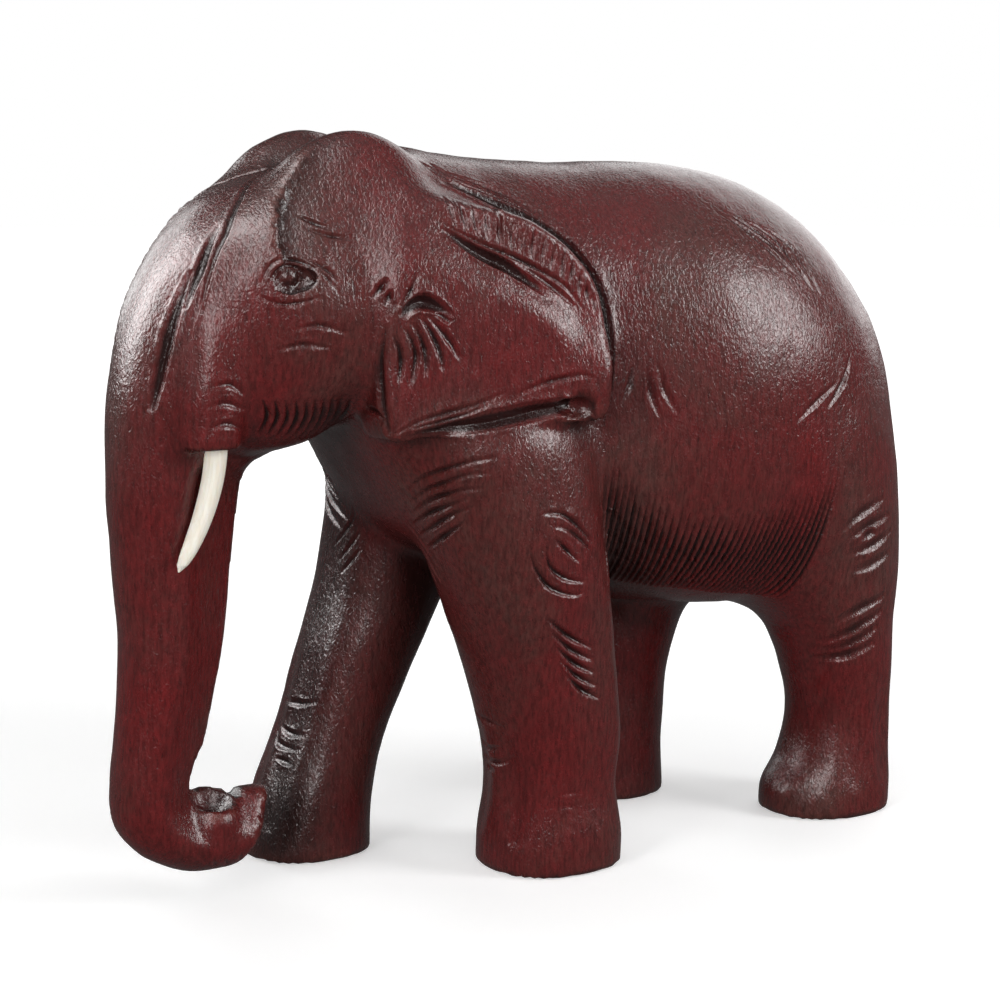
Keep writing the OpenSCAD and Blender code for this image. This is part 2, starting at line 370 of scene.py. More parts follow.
def outline_distance(outline, y, z, closed=True):
    """Signed distance in the YZ plane to a closed outline, or to the left of an open line."""
    p = smooth_curve(outline, steps=5, closed=closed)
    q = np.roll(p, -1, 0) if closed else p[1:]
    yy, zz = np.broadcast_arrays(y[0], z[0])
    best = np.full(yy.shape, 1e9)
    inside = np.zeros(yy.shape, bool)
    side = np.zeros(yy.shape)
    for (ay, az), (by, bz) in zip(p, q):
        ey, ez = by - ay, bz - az
        t = np.clip(((yy - ay) * ey + (zz - az) * ez) / (ey * ey + ez * ez + 1e-12), 0, 1)
        gap = (yy - ay - t * ey)**2 + (zz - az - t * ez)**2
        side = np.where(gap < best, np.sign((yy - ay) * ez - (zz - az) * ey), side)
        best = np.minimum(best, gap)
        if closed and az != bz:
            crosses = (az > zz) != (bz > zz)
            inside ^= crosses & (yy < (by - ay) * (zz - az) / (bz - az) + ay)
    return np.where(inside, -1, 1) * np.sqrt(best) if closed else -side * np.sqrt(best)


def ear(x, y, z):
    """Sheet that stands away from the neck towards its rear edge; the rim beyond the fold leans in."""
    edge = outline_distance(EAR, y, z)[None]
    beyond = outline_distance(EAR_FOLD, y, z, closed=False)[None]
    face_x = EAR_FRONT_X + (y - EAR_FRONT_Y) / EAR_LENGTH * (EAR_REAR_X - EAR_FRONT_X)
    roll = EAR_ROLL * ramp(z, EAR_ROLL_LOW_Z, EAR_ROLL_HIGH_Z)
    face_x = face_x - roll * ramp(beyond, -EAR_ROLL_WIDTH, 0)
    face_x = face_x - EAR_RIM_LEAN * np.clip(beyond, 0, EAR_ROLL_WIDTH)
    face = np.abs(x) - face_x
    a = np.maximum(face, -EAR_ROOT_DEPTH - face) + EAR_EDGE_R
    b = edge + EAR_EDGE_R
    outside = np.sqrt(np.maximum(a, 0)**2 + np.maximum(b, 0)**2)
    return outside + np.minimum(np.maximum(a, b), 0) - EAR_EDGE_R


def ear_blend(x, y, z):
    """The ear grows out of the head at its upper front, and is sharply set off elsewhere."""
    along = (y - EAR_ROOT[0]) / EAR_ROOT_SIZE[0]
    up = (z - EAR_ROOT[1]) / EAR_ROOT_SIZE[1]
    return EAR_BLEND + EAR_ROOT_BLEND * np.exp(-(along**2 + up**2)) + 0 * x


def temple_blend(x, y, z):
    """The hollow of the temple has a crisp front edge and a soft rear one."""
    soft = ramp(y, TEMPLE_CRISP_Y, TEMPLE_SOFT_Y)
    return TEMPLE_CRISP_BLEND + TEMPLE_SOFT_BLEND * soft + 0 * x + 0 * z


def temple(x, y, z):
    """Hollow above the eye: deepest just behind its crisp front edge, and rising towards the ear."""
    below = np.clip(TEMPLE_MIDDLE_Z - z, 0, None)
    above = np.clip(z - TEMPLE_MIDDLE_Z, 0, None)
    behind = y - TEMPLE_FRONT_Y - TEMPLE_CURL * np.clip(z - TEMPLE_CURL_Z, 0, None)**2
    bottom = TEMPLE_BOTTOM_X + TEMPLE_RISE * behind + TEMPLE_LOWER_LEAN * below
    bottom = bottom - TEMPLE_UPPER_LEAN * above
    bottom = bottom + TEMPLE_DOME_CURL * np.clip(z - TEMPLE_DOME_Z, 0, None)**2
    return smooth_max(TEMPLE_SLOPE * (bottom - np.abs(x)), -behind + 0 * x, 2)


def trunk_end(x, y, z):
    """Open space behind the slanted end of the trunk."""
    ahead = TRUNK_END_FACES[0] * (y - TRUNK_END[0]) + TRUNK_END_FACES[1] * (z - TRUNK_END[1])
    return -ahead + 0 * x


def sculpt():
    """The whole animal. The two corners given with a shape bound the part of the grid that it can reach."""
    field = Field(FIELD_LOW, FIELD_HIGH, FIELD_STEP)
    field.add((-57, -100, 50), (57, 137, 208), torso, 1)
    for stations in (LEFT_FRONT_LEG, RIGHT_FRONT_LEG):
        field.add((-57, -90, -6), (57, 30, 160), upright(stations, power=2.4, rear_cut=0.88), 5)
    for stations in (LEFT_REAR_LEG, RIGHT_REAR_LEG):
        field.add((-57, 0, -6), (57, 137, 160), upright(stations, power=2.3, rear_cut=0.93), 10)
    field.add((-45, -125, 105), (45, -10, 208), upright(HEAD), 8)
    field.add((-45, -110, 130), (45, -10, 208), mirrored(egg((13, -60, 172), (16, 26.5, 28))), 4)
    field.add((-45, -135, -6), (45, -40, 208), trunk, 7)
    field.add((-30, -125, 110), (30, -80, 175), mirrored(upright(LIP, power=2.4, end=1)), 3)
    field.add((-30, -115, 100), (30, -70, 140), egg((0, -94, 121), (8.5, 8, 9)), 4)
    field.add((-20, 90, 70), (20, 137, 180), upright(TAIL), 3)
    field.add((-57, -80, 110), (57, 10, 198), ear, ear_blend)
    # Hollow of the temple, and the scoop under the hem of the ear
    field.carve((-57, -105, 145), (57, -30, 205), temple, temple_blend)
    hem_x = field.side_x(-12, 128.5)
    under_hem = egg((hem_x + 1, -12, 128.5), (4, 5.5, 3.2))
    field.carve((-57, -30, 115), (57, 5, 140), mirrored(under_hem), 0.8)
    # Eyeball in its socket
    eye_x = field.side_x(-85, 164.5)
    socket = egg((eye_x + 1, -85, 163.8), (2.6, 6, 3.4))
    eyeball = egg((eye_x - 1.9, -85.3, 163.9), (2.6, 2.7, 2.3))
    field.carve((-45, -100, 150), (45, -70, 180), mirrored(socket), 1)
    field.add((-45, -100, 150), (45, -70, 180), mirrored(eyeball), 0.5)
    # Trunk tip: slanted end, swollen rim, nostril cup, and the notch in front of its finger
    field.carve((-20, -100, 2), (20, -75, 45), trunk_end, 1.2)
    field.add((-20, -115, 2), (20, -75, 45), egg((-0.5, -98, 20), (10.6, 8.5, 9)), 2)
    field.carve((-20, -112, 5), (20, -75, 45), egg((3, -98, 31.5), (6.6, 6.8, 10)), 0.5)
    field.carve((-20, -100, 5), (20, -75, 45), egg((-2, -90.5, 31), (12, 1.8, 6)), 0.5)
    # Soles
    field.carve((-57, -135, -6), (57, 137, 4), lambda x, y, z: z + 0 * x + 0 * y, 1.2)
    return field


# ---- Tool marks ----

STROKE_SAMPLES = 24      # points of a stroke that are dropped onto the surface
POINT_EVERY = 0.45       # distance between the points of a finished stroke
HAND_SLIP = 0.35         # spread of the places of strokes repeated on the other side
NARROWEST = 0.45         # half width at the end of a stroke, as a share of the widest
BURR_HEIGHT = 0.2        # ridge beside a cut, as a share of its depth
BURR_AT = 1.2            # where it stands, in half widths from the middle of the cut
BURR_WIDTH = 0.24
CUT_REACH = 1.7          # half widths within which a cut still changes the surface
OUTSIDE_X = 80           # strokes are dropped onto the figure from outside it
OUTSIDE_Y = -150


class Cut:
    """One tool mark: points on the surface, with the depth and half width at each.

    scoop runs from 0, a V-shaped cut, to 1, a round one. A soft mark is a shallow flute with no sharp edge.
    """

    def __init__(self, points, depth, half_width, scoop, ends, soft):
        share = np.linspace(0, 1, len(points))
        taper = np.minimum(share / 0.5, 1)**ends[0] * np.minimum((1 - share) / 0.5, 1)**ends[1]
        self.points = points
        self.depth = depth * taper
        self.half = half_width * (NARROWEST + (1 - NARROWEST) * np.abs(taper))
        self.scoop = scoop
        self.soft = soft
        self.reach = half_width * CUT_REACH
        self.deepest = depth


def project(flat, view, surface):
    """Points drawn on a flat view, dropped onto the surface: views are left, right and front."""
    found = []
    for a, b in flat:
        if view.startswith("front"):
            start, way = Vector((a, OUTSIDE_Y, b)), Vector((0, 1, 0))
        elif view == "left":
            start, way = Vector((OUTSIDE_X, a, b)), Vector((-1, 0, 0))
        else:
            start, way = Vector((-OUTSIDE_X, a, b)), Vector((1, 0, 0))
        hit = surface.ray_cast(start, way)[0]
        if hit is not None:
            found.append(hit)
    return np.array(found)


def longest_run(points):
    """The longest part of a stroke that doesn't jump from one part of the animal to another.

    A jump is a step more than about four times as long as usual.
    """
    step = np.linalg.norm(np.diff(points, axis=0), axis=1)
    jumps = np.flatnonzero(step > 4 * np.median(step) + 1) + 1
    return max(np.split(points, jumps), key=len)


def fan(number, starts, ends, bow=0.0):
    """Strokes spread evenly from a line of starts to a line of ends, each bowed sideways."""
    shares = (np.arange(number) + 0.5) / number
    first = at_shares(smooth_curve(starts), shares)
    last = at_shares(smooth_curve(ends), shares)
    strokes = []
    for a, b in zip(first, last):
        across = np.array([-(b - a)[1], (b - a)[0]]) / (np.linalg.norm(b - a) + 1e-9)
        strokes.append([a, (a + b) / 2 + bow * across, b])
    return strokes


def leg_step(y, z):
    """How much further forward the right leg is than the left one, at this place on a leg."""
    left, right = (LEFT_FRONT_LEG, RIGHT_FRONT_LEG) if y < 30 else (LEFT_REAR_LEG, RIGHT_REAR_LEG)
    a, b = smooth_curve(left)[::-1], smooth_curve(right)[::-1]
    return float(np.interp(z, b[:, 0], b[:, 2]) - np.interp(z, a[:, 0], a[:, 2]))


# Strokes drawn on the left side as (y, z)
FRINGE = fan(36, [(2, 116), (8, 112.5), (16, 105), (24, 100), (35, 98), (52, 98), (68, 103), (79, 108)],
             [(1, 79), (9, 78), (20, 75.5), (32, 73.5), (45, 71), (58, 69), (69, 67)])
JAW = fan(11, [(-93, 133.5), (-78, 133), (-63, 132)], [(-92, 124), (-77, 122), (-63, 121)], 1.4)
EAR_RIM = fan(15, [(-43, 184.4), (-35.7, 181.2), (-27.7, 178.8), (-19, 174.7), (-10.4, 168.2),
                   (-3.6, 158)],
              [(-42.2, 176.2), (-33.6, 171.6), (-26.4, 167.8), (-17.3, 162.6), (-8, 156.8),
               (-3.2, 151)], -0.5)
NECK = fan(6, [(-36, 190), (-31, 183)], [(-6, 176.5), (-3, 170)], 1.5)
NECK += [[(-42, 192), (-37, 189), (-33, 186)], [(-38, 191.5), (-33, 187.5)]]
LEG_BACK = fan(5, [(-22, 76), (-16, 63), (-12, 55)], [(-5, 65), (-3, 55), (-1, 47)], -1.0)
LEAF = [
    [(-23.5, 101.5), (-17, 101), (-11, 97), (-5, 91)], [(-19.5, 98), (-14.5, 96.5), (-8, 91.5), (-6, 87.5)],
    [(-19.5, 95), (-15.5, 91.5), (-11, 87.5)], [(-22, 93), (-20.5, 87.5), (-15, 83.5), (-8.5, 82)],
    [(-26.5, 93.5), (-25, 88), (-20.5, 82), (-13.5, 79), (-8.5, 79)],
]
EAR_FAN = [
    [(-58, 151), (-55.9, 147.5), (-54.9, 143), (-56.5, 135.5)],
    [(-56, 152.2), (-53.8, 148.5), (-52.4, 144), (-52.3, 138)],
    [(-53.7, 153.4), (-50.8, 149.5), (-48.8, 145), (-47.7, 139.5)],
    [(-52, 154), (-48.6, 150.2), (-45.8, 146.5), (-43.2, 142)],
    [(-60.6, 149.3), (-59, 145), (-58.7, 141.7), (-59.3, 136.5)],
    [(-50, 154.3), (-47.8, 153.5), (-45.6, 151.5)],
]
EAR_HOLE = [[(-58.8, 153.2), (-56.5, 156), (-53, 157.2), (-48.3, 155.4), (-45.5, 152.8)]]
EAR_FRONT_NICKS = [
    [(-54, 164.5), (-55.8, 160.3), (-58.7, 155.8)], [(-61.2, 163.5), (-63, 161), (-65.3, 158)],
    [(-60.6, 160.5), (-62.5, 156.5)],
]
FOLD_CUTS = [[(-44.7, 175.2), (-37, 169.8), (-28.2, 165), (-19, 158.4)]]
FOLD_LINES = [
    [(-27.6, 167.2), (-19, 162), (-8.6, 153.4)],
    [(-44.7, 176.7), (-36.2, 172), (-27.7, 168.2), (-19.2, 164), (-12.2, 159.4), (-7.6, 152.8)],
]
HEM = [
    [(-29, 132), (-21.8, 135), (-11.3, 137), (-6.5, 135.7)],
    [(-60.6, 123.6), (-53, 127), (-39, 130.5), (-31, 133.5)],
    [(-58, 124.6), (-45, 127.2), (-34, 131.2)],
]
HEM_UNDER = [[(-59, 122.8), (-45, 125), (-30, 127.2), (-18, 128.8), (-12, 129.3)]]
BROW = [[(-81, 179.5), (-77, 177.3), (-72, 175.2)], [(-79.5, 176.4), (-75, 174.3), (-66, 173)]]
LIDS = [
    [(-93.2, 162.5), (-90.8, 167), (-87.7, 168.6), (-82.9, 168), (-77.8, 165), (-73.6, 159.9)],
    [(-91.5, 162.5), (-88.5, 166), (-85, 167), (-81.5, 165), (-78.5, 161.5)],
    [(-93.2, 159.4), (-88.7, 157.6), (-83.1, 158), (-77.9, 159.2)],
    [(-90.5, 161.5), (-86, 160.2), (-81, 161.2)],
    [(-80.5, 168.5), (-76, 165.5), (-73, 162.5)],
]
CHEEK = [[(-86, 151), (-79, 152), (-71, 149.5)], [(-90, 146), (-83, 147.3), (-75, 146)]]
LIP_WRINKLES = [
    [(-106, 137.5), (-101, 138), (-97, 135)], [(-107, 132.5), (-102, 133.3), (-96, 131)],
    [(-107, 127), (-102, 128.3), (-96, 126)],
]
EAR_CREASE = [[(-62, 152), (-63.5, 143), (-63, 132), (-61, 122)]]
RUMP_TOP = [
    [(44, 178), (52, 173), (59, 166), (65, 160)], [(46, 178.5), (57, 172), (63, 166), (67, 160)],
    [(53, 175.5), (62, 170), (67, 161), (71, 155)], [(58, 174), (67, 168), (71, 160), (74, 153)],
    [(50, 175), (60, 168), (66, 161)],
]
FLANK = [[(83, 137), (79, 130), (72, 123)], [(76, 130), (69, 126), (60, 120)]]
NECK_SIDE = [[(14, 139), (15, 131), (18, 123)], [(17, 139), (19, 131), (23, 124)],
             [(10, 138), (8.5, 132), (7, 127)]]
THIGH = [
    [(79, 86.5), (86.5, 91.5), (98, 95)], [(82, 84), (90.5, 87.5), (101.5, 90)],
    [(84.5, 80), (93, 81.5), (103, 85)], [(88.5, 84.3), (94.5, 86)], [(85.5, 75), (92, 75.5), (102.5, 79)],
    [(82.5, 58.5), (89, 62.5), (101.5, 66)], [(81, 53), (89, 56.5), (100.5, 61.5)],
    [(82, 50.5), (88, 52), (99, 57)], [(81.5, 47.5), (87.5, 49), (98, 52)],
]
FOOT = [[(-14, 23), (-10, 23.3), (-6, 22.7)], [(-13, 20), (-8, 19.4)]]
# Strokes drawn on the front view as (x, z)
CREASES = [[(2, 190), (11, 184), (16, 176.5), (17.2, 170.8), (18.5, 161), (18.8, 151.5)]]
CREASE_LENSES = [[(13.5, 177), (15, 171), (16, 165), (16, 156)]]
CREASE_WEDGE = [[(14.5, 166), (14.5, 159), (14, 149), (13, 138), (12, 131)]]
SHOULDER = [
    [(22.5, 107), (29, 111), (35, 113.5), (41, 116), (44.3, 117)],
    [(20.5, 103), (28.5, 107.5), (34.5, 110), (40, 112.5), (43.6, 113)],
    [(19.5, 100), (27, 104), (34.5, 107), (39.5, 108.6), (42.7, 109)],
    [(16, 96), (26, 100.7), (33.5, 103.6), (40, 106.4)], [(17, 93), (26.5, 97.5), (35, 101.7), (41, 104.3)],
    [(19, 90), (28.5, 94.5), (33, 97), (38, 100)],
]
SHIN_FRONT = [[(14, 43), (22, 41.5), (31, 41)], [(15, 34), (22, 33.5), (28, 35)],
              [(15, 30), (25, 30), (32, 33)], [(16, 27), (24, 27.5)]]
KNEE_FRONT = [[(-12, 101), (-16, 93), (-23, 85)], [(-10, 97), (-14, 89), (-20, 81)],
              [(-9, 93), (-13, 85), (-18, 78)]]
# Fine wrinkles on the far side of the forehead, and soft flutes down the lower legs
BROW_WRINKLES = fan(13, [(-5, 189), (-7, 168), (-8, 146)], [(-15, 187), (-18, 166), (-17, 145)], 0.8)
FRONT_FLUTES = [[(-19, 66), (-20, 38), (-19, 8)], [(-30, 62), (-31, 38), (-32, 10)],
                [(17, 42), (17, 24), (16, 8)], [(30, 40), (31, 24), (33, 8)]]
REAR_FLUTES = [[(84, 52), (82.5, 30), (81, 8)], [(93, 46), (92.5, 28), (92, 9)],
               [(103, 44), (103.5, 28), (104, 9)]]
EAR_SHADOW = [[(-38, 187.5), (-26, 183), (-13, 176.5), (-4.5, 168.5), (0.8, 159), (2.4, 148), (2.4, 137),
               (1.6, 127)]]
TIP_NICKS = [[(-101, 12), (-98.5, 9)], [(-97, 11.5), (-95, 8.8)], [(-93, 12.5), (-91.5, 9.5)],
             [(-89.5, 14), (-88.5, 11)]]


# Where the strokes of each view are cut
SIDES = {"side": ("left", "right"), "front": ("front", "front_mirrored"), "right_front": ("front",)}


def tool_marks(surface):
    """Every tool mark, on both sides where the carver repeated it."""
    cuts = []

    def strike(strokes, depth, half, scoop=0.0, ends=(0.6, 0.6), on_leg=False, view="side", soft=False):
        for side in SIDES[view]:
            for stroke in strokes:
                flat = at_shares(smooth_curve(stroke), np.linspace(0, 1, STROKE_SAMPLES))
                if side == "right" and on_leg:
                    flat = flat + [(leg_step(y, z), 0) for y, z in flat]
                if side == "front_mirrored":
                    flat = flat * (-1, 1)
                if side in ("right", "front_mirrored"):
                    flat = flat + rng.normal(0, HAND_SLIP, 2)
                points = project(flat, side, surface)
                if len(points) < 4:
                    continue
                points = longest_run(points)
                run = np.linalg.norm(np.diff(points, axis=0), axis=1).sum()
                even = at_shares(points, np.linspace(0, 1, max(int(run / POINT_EVERY), 5)))
                vary = depth * rng.uniform(0.85, 1.15)
                cuts.append(Cut(even, vary, half, scoop, ends, soft))

    # Strokes, depth and half width
    strike(FRINGE, 1.45, 1.0, ends=(0.7, 0.25))
    strike(JAW, 1.2, 1.1, ends=(0.4, 0.4))
    strike(EAR_RIM, 0.8, 0.8)
    strike(NECK, 0.8, 1.0)
    strike(SHOULDER, 1.2, 1.15, view="front")
    strike(LEG_BACK, 1.3, 1.15, on_leg=True)
    strike(LEAF, 1.2, 1.05, on_leg=True)
    strike(EAR_FAN, 1.1, 1.2, scoop=0.3, ends=(0.5, 0.4))
    strike(EAR_HOLE, 2.0, 2.3, scoop=0.5, ends=(0.5, 0.8))
    strike(EAR_FRONT_NICKS, 1.1, 1.2, scoop=0.5)
    strike(FOLD_CUTS, 1.9, 2.1, scoop=0.6)
    strike(FOLD_LINES, 1.0, 1.1)
    strike(HEM, 0.9, 1.1)
    strike(HEM_UNDER, 1.9, 2.7, ends=(0.6, 0.15))
    strike(BROW, 1.0, 0.9)
    strike(LIDS, 1.0, 0.75, ends=(0.4, 0.5))
    strike(CHEEK, 0.8, 1.0)
    strike(LIP_WRINKLES, 0.8, 1.1)
    strike(EAR_CREASE, 1.6, 1.8, ends=(0.6, 0.3))
    strike(RUMP_TOP, 0.8, 1.1)
    strike(FLANK, 0.7, 1.3, scoop=0.6)
    strike(NECK_SIDE, 0.8, 1.3)
    strike(THIGH, 0.75, 1.9, scoop=0.8, ends=(0.6, 0.4), on_leg=True)
    strike(FOOT, 0.4, 0.7, on_leg=True)
    strike(CREASES, 1.3, 1.2, ends=(0.4, 0.7), view="front")
    strike(CREASE_LENSES, 1.4, 1.6, scoop=0.6, view="front")
    strike(CREASE_WEDGE, 1.6, 2.0, scoop=0.4, ends=(0.5, 0.3), view="front")
    strike(BROW_WRINKLES, 0.3, 0.8, view="right_front")
    strike(FRONT_FLUTES, 1.3, 6.5, ends=(0.7, 0.2), view="right_front", soft=True)
    strike(REAR_FLUTES, 1.1, 5.5, ends=(0.7, 0.2), on_leg=True, soft=True)
    strike(EAR_SHADOW, 1.8, 2.6, scoop=0.3, ends=(0.5, 0.3))
    strike(TIP_NICKS, 0.5, 0.8)
    strike(SHIN_FRONT, 0.8, 1.2, scoop=0.5, view="front")
    strike(KNEE_FRONT, 0.7, 0.9, view="front")
    return cuts


def near_cuts(points, cuts, margin):
    """True for each point within reach of a tool mark."""
    near = np.zeros(len(points), bool)
    for cut in cuts:
        reach = cut.half.max() + margin
        low, high = cut.points.min(0) - reach, cut.points.max(0) + reach
        inside = np.flatnonzero(((points > low) & (points < high)).all(1) & ~near)
        if len(inside):
            gap = ((points[inside][:, None] - cut.points[None, ::2])**2).sum(-1).min(1)
            near[inside[gap < reach * reach]] = True
    return near


def carve_cuts(points, normals, cuts):
    """Points pushed into every tool mark, and how deep each one went."""
    deep, hollow, burr = (np.zeros(len(points)) for _ in range(3))
    for cut in cuts:
        low, high = cut.points.min(0) - cut.reach, cut.points.max(0) + cut.reach
        inside = np.flatnonzero(((points > low) & (points < high)).all(1))
        if not len(inside):
            continue
        gap = np.sqrt(((points[inside][:, None] - cut.points[None])**2).sum(-1))
        k = gap.argmin(1)
        t = gap[np.arange(len(inside)), k] / cut.half[k]
        wall = np.clip(1 - t, 0, 1)
        bowl = np.clip(1 - t * t, 0, 1)
        if cut.soft:
            hollow[inside] = np.maximum(hollow[inside], cut.depth[k] * bowl**2)
            continue
        depth = cut.depth[k] * (wall * (1 - cut.scoop) + bowl * cut.scoop)
        deep[inside] = np.maximum(deep[inside], depth)
        ridge = BURR_HEIGHT * cut.depth[k] * np.exp(-((t - BURR_AT) / BURR_WIDTH)**2)
        burr[inside] = np.maximum(burr[inside], ridge)
    lift = np.where(deep > 0, 0, burr) - deep - hollow
    return points + normals * lift[:, None], deep


# ---- Meshes ----

# Each round of splitting: for cuts deeper than this, out to this margin around them
REFINEMENTS = ((0, 2.0), (0, 0.8), (1.7, 0.4))
WAVES = ((24, 0.08), (13, 0.06), (7, 0.04))      # length and height
WAVES_OF_EACH = 4
# Reaches over which the painted shade in corners and hollows is measured
CORNER_SHADE_REACHES = (3.0, 8.0, 30.0)
EDGE_REACH = 2.5
SOLE_TOP = 0.6


def place(points):
    """Drawn millimetres to metres in the row's frame."""
    return (np.asarray(points, float) - (0, DRAWN_MIDDLE_Y, 0)) * MM


def refine(bm, marked):
    """Split every edge whose two ends are marked."""
    edges = [e for e in bm.edges if marked[e.verts[0].index] and marked[e.verts[1].index]]
    bmesh.ops.subdivide_edges(bm, edges=edges, cuts=1, use_grid_fill=True)
    bm.verts.index_update()


def coordinates(bm):
    return np.array([v.co[:] for v in bm.verts])


def unevenness(points):
    """Slight waves that a hand tool leaves in a smoothed surface."""
    total = np.zeros(len(points))
    for length, height in WAVES:
        for _ in range(WAVES_OF_EACH):
            way = rng.normal(size=3)
            way /= np.linalg.norm(way)
            total += height * np.sin(points @ way * 2 * math.pi / length + rng.uniform(0, 6.3)) / 2
    return total


def corner_shade(field, points, normals):
    """Painted shade: 0 on open surfaces, up to 1 deep in a corner or hollow, where the wood's colour is
    darkened.
    """
    total = np.zeros(len(points))
    for reach in CORNER_SHADE_REACHES:
        clear = field.sample(points + normals * reach)[0] / reach
        total += np.clip(1 - clear, 0, 1) / len(CORNER_SHADE_REACHES)
    return total


def edge_share(field, points, normals):
    """0 on flat surfaces, up to 1 along a sharp edge."""
    return np.clip(1 + field.sample(points - normals * EDGE_REACH)[0] / EDGE_REACH, 0, 1)


def carved_mesh(name, field):
    """The whole figure: surface of the field, refined and cut by the tool marks."""
    points, quads = field.mesh(MESH_EVERY)
    surface = BVHTree.FromPolygons([tuple(p) for p in points], [tuple(map(int, q)) for q in quads])
    cuts = tool_marks(surface)
    bm = bmesh.new()
    verts = [bm.verts.new(p) for p in points]
    for quad in quads:
        bm.faces.new([verts[k] for k in quad[::-1]])
    bm.verts.index_update()
    sharp_cuts = [cut for cut in cuts if not cut.soft]
    for least_depth, margin in REFINEMENTS:
        chosen = [cut for cut in sharp_cuts if cut.deepest > least_depth]
        refine(bm, near_cuts(coordinates(bm), chosen, margin))
    wide = [f for f in bm.faces if len(f.verts) > 4]
    bmesh.ops.triangulate(bm, faces=wide)
    points = field.settle(coordinates(bm))
    normals = field.normals(points)
    on_sole = points[:, 2] < SOLE_TOP
    points = points + normals * (unevenness(points) * ~on_sole)[:, None]
    # Painted shade, up to 1 deep in corners and hollows, kept for the colour of the wood
    painted_shade = corner_shade(field, points, normals)
    sharp = edge_share(field, points, normals)
    points, deep = carve_cuts(points, normals, cuts)
    points[:, 2] = np.maximum(points[:, 2], 0)
    for vert, p in zip(bm.verts, place(points)):
        vert.co = p
    mesh = bpy.data.meshes.new(name)
    bm.to_mesh(mesh)
    bm.free()
    for label, values in (("cut_depth", deep), ("corner_shade", painted_shade), ("edge", sharp)):
        attribute = mesh.attributes.new(label, "FLOAT", "POINT")
        attribute.data.foreach_set("value", values.astype(np.float32))
    mesh.polygons.foreach_set("use_smooth", [True] * len(mesh.polygons))
    return mesh


def add_object(name, mesh, material):
    mesh.materials.append(material)
    obj = bpy.data.objects.new(name, mesh)
    bpy.context.scene.collection.objects.link(obj)
    return obj


# ---- Materials ----

# Stain from its brown, thin places to its full red
STAIN = [(0.37, (0.078, 0.0265, 0.0225)), (0.47, (0.090, 0.0172, 0.0155)),
         (0.55, (0.102, 0.0120, 0.0120)), (0.66, (0.122, 0.0088, 0.0095))]
GRAIN = [(0.32, (0.62, 0.58, 0.58)), (0.62, (1.2, 1.2, 1.2))]
PORE_COLOR = (0.012, 0.003, 0.003, 1)
# Lighter edges: partly worn stain, partly a painted highlight along the arrises
WORN_AND_HIGHLIGHT_COLOR = (0.17, 0.060, 0.045, 1)
# Painted shade for corners and hollows
PAINTED_SHADE_COLOR = (0.012, 0.004, 0.0035, 1)
# Painted shade inside the tool marks
CUT_SHADE_COLOR = (0.010, 0.0025, 0.0022, 1)
IVORY = [(0.35, (0.84, 0.77, 0.65)), (0.55, (0.88, 0.83, 0.73)), (0.7, (0.92, 0.89, 0.81))]
IVORY_SPECK = (0.45, 0.25, 0.16, 1)


def plain_material(name, color, rough):
    m = bpy.data.materials.new(name)
    m.use_nodes = True
    shader = m.node_tree.nodes["Principled BSDF"]
    shader.inputs["Base Color"].default_value = (*color, 1)
    shader.inputs["Roughness"].default_value = rough
    return m


class Tree:
    """A material's nodes, added one by one."""

    def __init__(self, material):
        self.tree = material.node_tree
        self.shader = self.tree.nodes["Principled BSDF"]

    def add(self, kind, settings=None, **inputs):
        """New node with these settings; an input is a number, a colour or another node's output."""
        node = self.tree.nodes.new("ShaderNode" + kind)
        for key, value in (settings or {}).items():
            setattr(node, key, value)
        for key, value in inputs.items():
            self.feed(node.inputs[key.replace("_", " ")], value)
        return node

    def feed(self, socket, value):
        if isinstance(value, bpy.types.NodeSocket):
            self.tree.links.new(value, socket)
        else:
            socket.default_value = value

    def stretched(self, scale):
        """Object coordinates in millimetres, stretched by a different scale along each axis."""
        coordinates = self.add("TexCoord").outputs["Object"]
        return self.add("Mapping", Vector=coordinates, Scale=tuple(1000 * k for k in scale)).outputs[0]

    def noise(self, scale, detail=4.0, roughness=0.55, distortion=0.0):
        """Noise whose waves are 1 / scale millimetres long."""
        node = self.add("TexNoise", Vector=self.stretched(scale), Scale=1.0, Detail=detail,
                        Roughness=roughness, Distortion=distortion)
        return node.outputs[0]

    def span(self, value, low, high, to_low=0.0, to_high=1.0):
        """A value brought from one range to another, and held there."""
        node = self.add("MapRange", Value=value, From_Min=low, From_Max=high, To_Min=to_low, To_Max=to_high)
        return node.outputs[0]

    def math(self, operation, a, b):
        node = self.tree.nodes.new("ShaderNodeMath")
        node.operation = operation
        self.feed(node.inputs[0], a)
        self.feed(node.inputs[1], b)
        return node.outputs[0]

    def mix(self, share, a, b, how="MIX"):
        node = self.tree.nodes.new("ShaderNodeMixRGB")
        node.blend_type = how
        for socket, value in zip(node.inputs, (share, a, b)):
            self.feed(socket, value)
        return node.outputs[0]

    def ramp(self, value, stops):
        node = self.add("ValToRGB", Fac=value)
        stops_in = node.color_ramp.elements
        while len(stops_in) < len(stops):
            stops_in.new(0.5)
        for element, (place_at, color) in zip(stops_in, stops):
            element.position = place_at
            element.color = (*color, 1)
        return node.outputs[0]

    def attribute(self, name):
        return self.add("Attribute", {"attribute_name": name}).outputs["Fac"]


